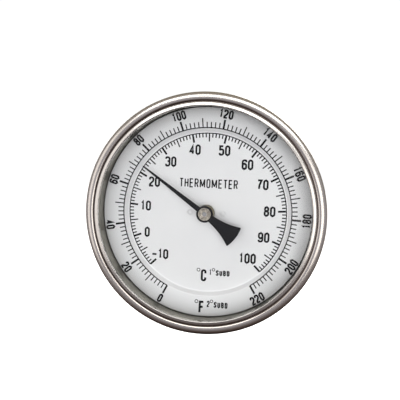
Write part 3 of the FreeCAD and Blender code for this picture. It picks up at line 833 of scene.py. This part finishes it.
def make_thread():
    """Helical 1/2-14 NPT thread that fades out at both ends."""
    pitch, depth, taper = 25.4 / 14, 1.35, 1 / 32
    small_r, end = 20.715 / 2, connection_high[1]
    turns, steps = 8, 72
    profile = [(0.0, 0.0), (0.06, 0.0), (0.44, 1.0), (0.56, 1.0), (0.94, 0.0)]
    rows = []
    total = turns * steps
    for k in range(total + 1):
        angle = TAU * k / steps
        base_y = pitch * (k / steps - 0.5)
        row = []
        for share, high in profile:
            y = base_y + pitch * share
            crest = small_r + (end - y) * taper
            fade = min(1.0, max(0.0, (end - 0.4 - y) / pitch), max(0.0, (y + 0.2) / pitch))
            radius = crest - depth + depth * high * fade
            clipped = min(max(y, 0.0), end)
            row.append((radius * math.cos(angle), clipped, radius * math.sin(angle)))
        rows.append(row)
    width = len(profile)
    vertices = [vertex for row in rows for vertex in row]
    faces = []
    for k in range(total):
        for j in range(width):
            a = k * width + j
            if j < width - 1:
                faces.append((a, a + 1, a + 1 + width, a + width))
            elif k + steps <= total - 1:
                b = (k + steps) * width
                faces.append((a, b, b + width, a + width))
    root_r = small_r - depth
    core = rounded([(BORE_R, 0.0, 0), (root_r + end * taper - 0.35, 0.0, 0), (root_r - 0.05, end - 0.3, 0),
                    (root_r - 0.5, end), (SOCKET_R, end, 0), (SOCKET_R, stem_low[1], 0),
                    (BORE_R, stem_low[1], 0)], 0.1, closed=True)
    core_vertices, core_faces = lathe_mesh(core, 144)
    faces += [tuple(len(vertices) + corner for corner in face) for face in core_faces]
    vertices += core_vertices
    fix_normals(add_piece("connection_thread", vertices, faces, "case",
                          MATERIALS["connection_steel"]))


def make_stem():
    """Probe tube with its weld bead and domed tip."""
    radius, start, weld = stem_high[0], stem_low[1], stem_high[1]
    shoulder = connection_high[1]
    outline = [(BORE_R, start), (SOCKET_R, start), (SOCKET_R, shoulder), (radius, shoulder),
               (radius, weld - 0.45)]
    outline += arc((radius - 0.06, weld - 0.15), 0.06, -60, 60, 4)
    outline += arc((0, weld), radius, 4, 90, 20)
    outline += [(0, weld - 1.5), (BORE_R, weld - 1.5)]
    lathe("stem_probe", outline, "case", MATERIALS["stem_steel"],
          ["stem_tube", "stem_tip"], 128)


def make_screw():
    """Slotted calibration screw: its shank, and the head's two halves beside the slot."""
    centre = (screw_low[0] + screw_high[0]) / 2, (screw_low[2] + screw_high[2]) / 2
    head_r, front, back = (screw_high[0] - screw_low[0]) / 2, screw_low[1], screw_high[1]
    shank_r, head_front = 1.25, back - 1.5
    slot_half, slot_floor = 0.3, back - 0.8
    shank = rounded([(0, front, 0), (shank_r, front), (shank_r, head_front, 0), (head_r, head_front),
                     (head_r, slot_floor, 0), (0, slot_floor, 0)], 0.08, closed=True)
    lathe("screw_shank", shank, "calibration_screw", MATERIALS["stem_steel"],
          ["calibration_screw"], 96, centre)
    cut = math.degrees(math.asin(slot_half / head_r))
    for side, sign in (("low", -1), ("high", 1)):
        outline = [(centre[0] + x, centre[1] + z * sign)
                   for x, z in arc((0, 0), head_r, cut, 180 - cut, 30)]
        if sign < 0:
            outline.reverse()
        prism("screw_head_" + side, outline, slot_floor, back, "calibration_screw",
              MATERIALS["stem_steel"], edge=0.12)


# --- surroundings -------------------------------------------------------------------------
def make_stage():
    """Plain pale floor under the instrument, which hangs in the air as if in a kettle's wall."""
    half, floor_z = 3000.0, -130.0
    mesh = bpy.data.meshes.new("floor")
    corners = [(-half, -half), (half, -half), (half, half), (-half, half)]
    mesh.from_pydata([(x * MM, y * MM, floor_z * MM) for x, y in corners], [], [(0, 1, 2, 3)])
    material, n = new_nodes("floor_paint")
    mottle = n.plain_noise(4.0, 2.0)
    n.finish(Base_Color=n.ramp(mottle, (0.3, (0.88, 0.88, 0.88)), (0.7, (0.90, 0.90, 0.90))),
             Roughness=0.9, Emission_Color=(1, 1, 1, 1), Emission_Strength=0.95)
    mesh.materials.append(material)
    floor = bpy.data.objects.new("floor", mesh)
    bpy.context.collection.objects.link(floor)
    floor.visible_glossy = floor.visible_diffuse = False


def area_light(name, place, size, power, colour=(1, 1, 1)):
    """A soft box aimed at the dial; its place is (azimuth, elevation, distance) in degrees and mm."""
    data = bpy.data.lights.new(name, "AREA")
    data.shape = "RECTANGLE"
    data.size, data.size_y = size[0] * MM, size[1] * MM
    data.energy = power
    data.color = colour
    light = bpy.data.objects.new(name, data)
    way = direction(math.radians(place[0]), math.radians(place[1]))
    spot = (Vector((0, DIAL_Y, 0)) + way * place[2]) * MM
    light.matrix_world = Matrix.Translation(spot) @ (-way).to_track_quat("-Z", "Y").to_matrix().to_4x4()
    bpy.context.collection.objects.link(light)
    return light


# Colours of the room by height (floor to ceiling) and by depth (behind the camera to behind the head).
WORLD_HEIGHT = ((0.0, (0.05, 0.036, 0.030)), (0.14, (0.13, 0.10, 0.09)), (0.30, (0.38, 0.35, 0.355)),
                (0.46, (0.58, 0.57, 0.61)), (0.62, (0.55, 0.54, 0.545)), (1.0, (0.52, 0.48, 0.40)))
WORLD_DEPTH = ((0.0, (1.0, 1.0, 1.03)), (0.30, (0.85, 0.83, 0.83)), (0.50, (0.85, 0.80, 0.75)),
               (0.60, (0.34, 0.30, 0.25)), (0.76, (1.0, 0.98, 0.95)), (1.0, (1.5, 1.5, 1.5)))


def make_room():
    """The surroundings that the metal mirrors; the camera itself sees plain white."""
    world = bpy.data.worlds.new("studio")
    bpy.context.scene.world = world
    n = Nodes(world, "ShaderNodeOutputWorld")
    way = n.add("ShaderNodeSeparateXYZ", {0: n.add("ShaderNodeTexCoord").outputs["Generated"]})
    height, depth = (
        n.ramp(n.add("ShaderNodeMapRange", {"Value": way.outputs[k], "From Min": -1.0}).outputs[0], *stops)
        for k, stops in ((2, WORLD_HEIGHT), (1, WORLD_DEPTH)))
    room = n.add("ShaderNodeBackground", {"Color": n.multiply(height, depth), "Strength": 0.9})
    white = n.add("ShaderNodeBackground", {"Color": (1, 1, 1, 1), "Strength": 1.05})
    seen = n.add("ShaderNodeLightPath").outputs["Is Camera Ray"]
    n.surface(n.add("ShaderNodeMixShader", {0: seen, 1: room.outputs[0], 2: white.outputs[0]}))


def make_lights():
    """Soft boxes: one that only reflections show, cards at both sides, one for the dial, and two
    behind for the case's back."""
    area_light("key", (2, 30, 650), (780, 225), 1.8).visible_diffuse = False
    area_light("left_card", (-42, 2, 560), (230, 420), 0.30, (1.0, 0.95, 0.90))
    area_light("right_card", (23, -3, 600), (260, 270), 0.45, (1.0, 0.96, 0.90))
    area_light("front", (4, -6, 800), (700, 700), 5.6).visible_glossy = False
    area_light("back_key", (152, 34, 650), (500, 400), 3.0)
    area_light("back_fill", (-142, 4, 650), (420, 520), 1.8)
    bpy.context.scene.view_settings.view_transform = "Standard"


make_camera()
make_room()
make_lights()
make_stage()
carry_over()
make_case()
make_bezel()
make_glass()
make_dial()
make_rivets()
print_scales()
print_numbers()
print_words()
make_pointer()
make_hub()
make_connection()
make_stem()
make_screw()
